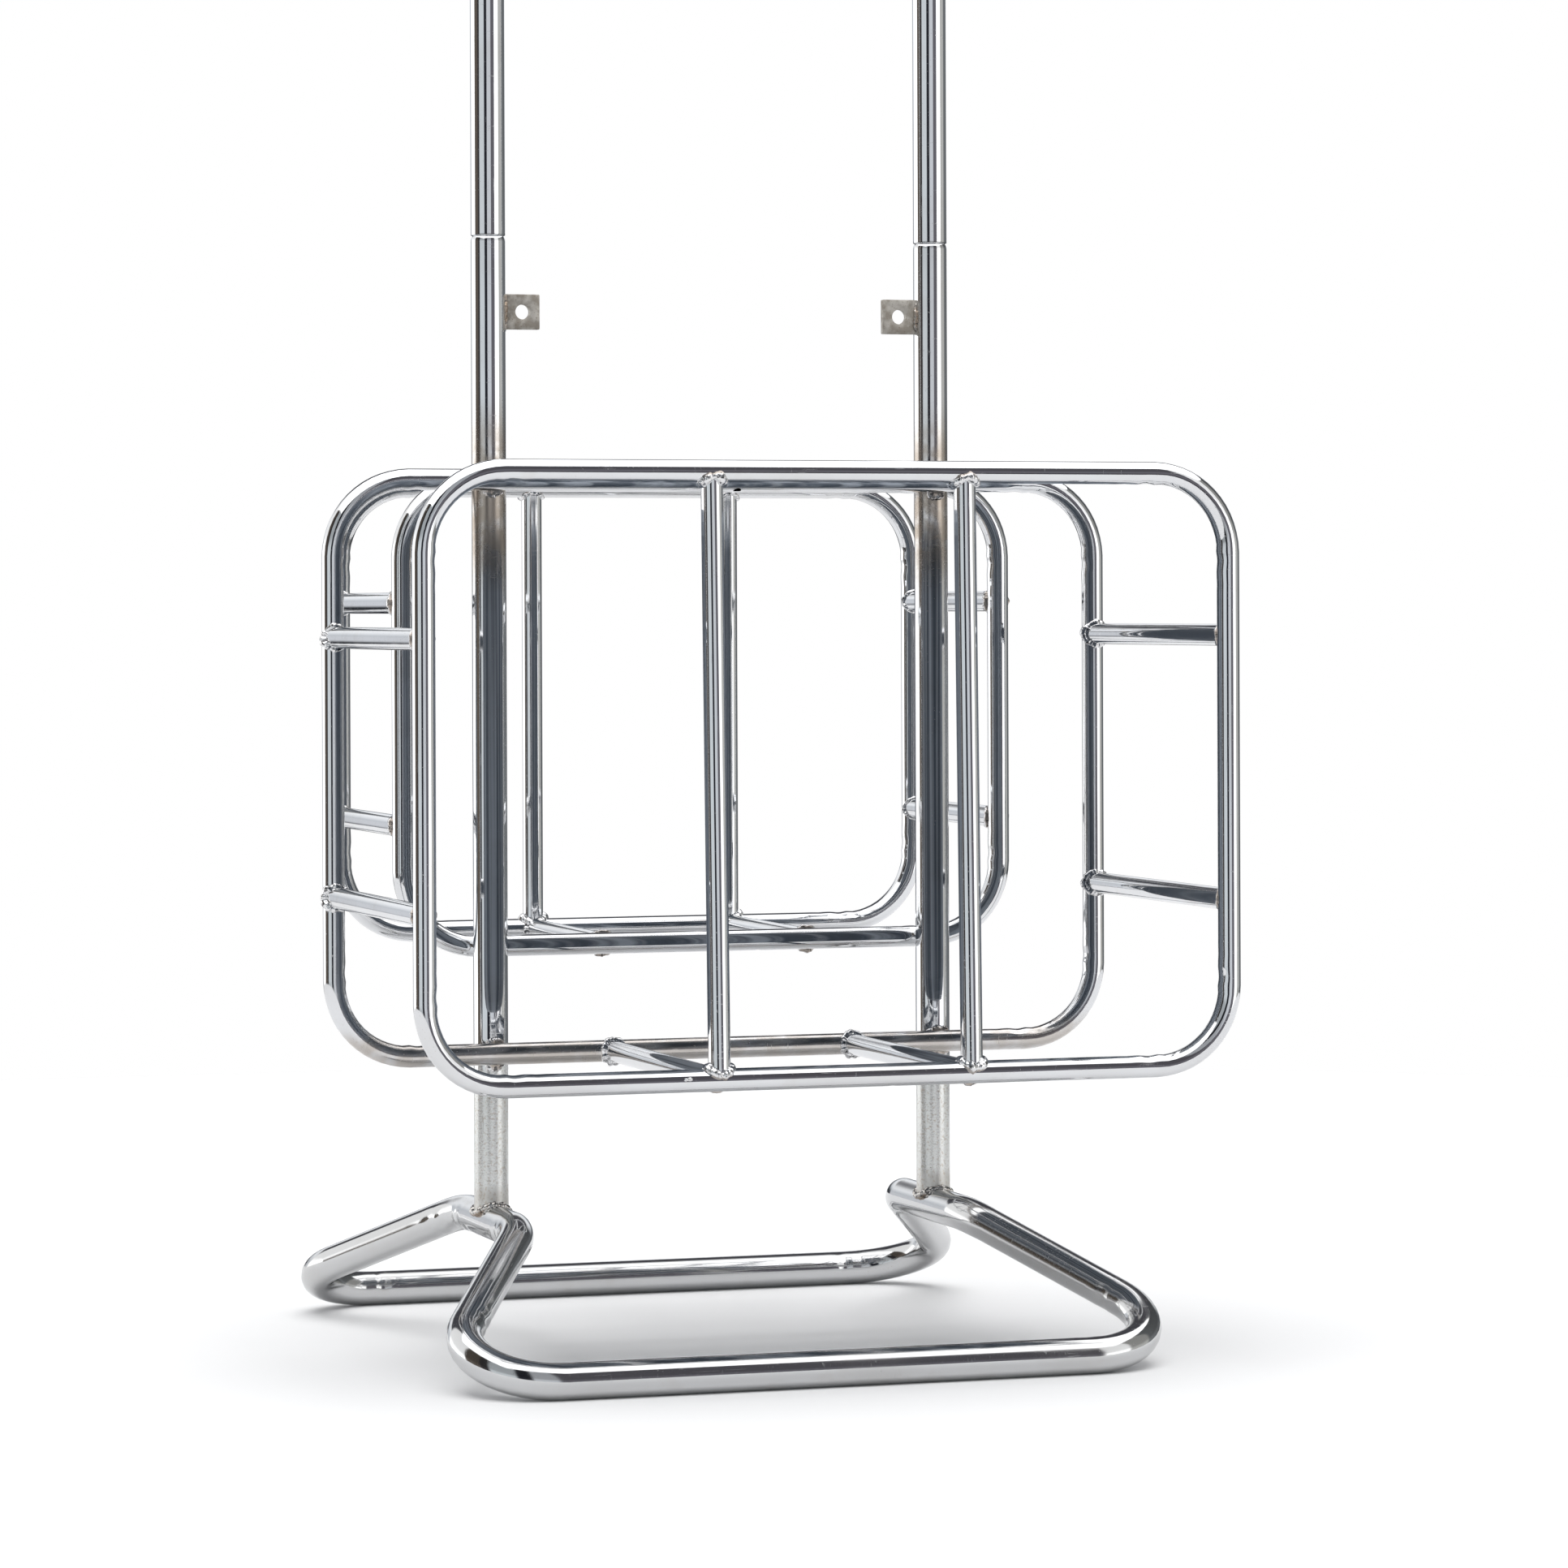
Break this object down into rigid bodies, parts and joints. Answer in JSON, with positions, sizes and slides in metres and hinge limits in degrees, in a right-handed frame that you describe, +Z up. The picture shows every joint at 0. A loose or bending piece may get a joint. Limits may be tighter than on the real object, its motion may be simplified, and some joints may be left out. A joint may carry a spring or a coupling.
{
  "type": "baggage sizer stand",
  "caption": "Chromed bent-tube baggage sizer stand: open carry-on gauge cage in front, smaller personal-item cage behind, and a lift-off sign frame on a tubular base.",
  "frame": {"origin": "on the floor, in the middle of the overall width and depth", "axes": "+X to the right seen from the carry-on side, +Y towards the personal-item cage, +Z up along the posts"},
  "size_m": [0.6118, 0.5853, 1.28],
  "materials": {
    "chrome": "bright chrome plating on steel tube",
    "tab_steel": "dull plated steel plate with grey-brown mottling",
    "weld": "lumpy plated weld metal with a little rust tint"
  },
  "bodies": {
    "stand": {"base_ring": "chrome", "left_post": "chrome", "right_post": "chrome", "left_sign_tab": "tab_steel", "right_sign_tab": "tab_steel", "carry_on_front_loop": "chrome", "carry_on_rear_loop": "chrome", "carry_on_left_upright": "chrome", "carry_on_right_upright": "chrome", "carry_on_left_floor_bar": "chrome", "carry_on_right_floor_bar": "chrome", "carry_on_left_high_bar": "chrome", "carry_on_left_low_bar": "chrome", "carry_on_right_high_bar": "chrome", "carry_on_right_low_bar": "chrome", "personal_inner_loop": "chrome", "personal_outer_loop": "chrome", "personal_left_upright": "chrome", "personal_right_upright": "chrome", "personal_left_floor_bar": "chrome", "personal_right_floor_bar": "chrome", "personal_left_high_bar": "chrome", "personal_left_low_bar": "chrome", "personal_right_high_bar": "chrome", "personal_right_low_bar": "chrome", "post_foot_welds": "weld", "carry_on_mount_welds": "weld", "personal_mount_welds": "weld", "carry_on_welds": "weld", "personal_welds": "weld", "tab_welds": "weld"},
    "sign_frame_body": {"sign_frame": "chrome", "upper_left_sign_tab": "tab_steel", "upper_right_sign_tab": "tab_steel", "upper_tab_welds": "weld"}
  },
  "joints": [
    {"name": "sign_frame_lift", "type": "slide", "parent": "stand", "child": "sign_frame_body", "axis": [0, 0, 1], "range_m": [0, 0.09]}
  ]
}
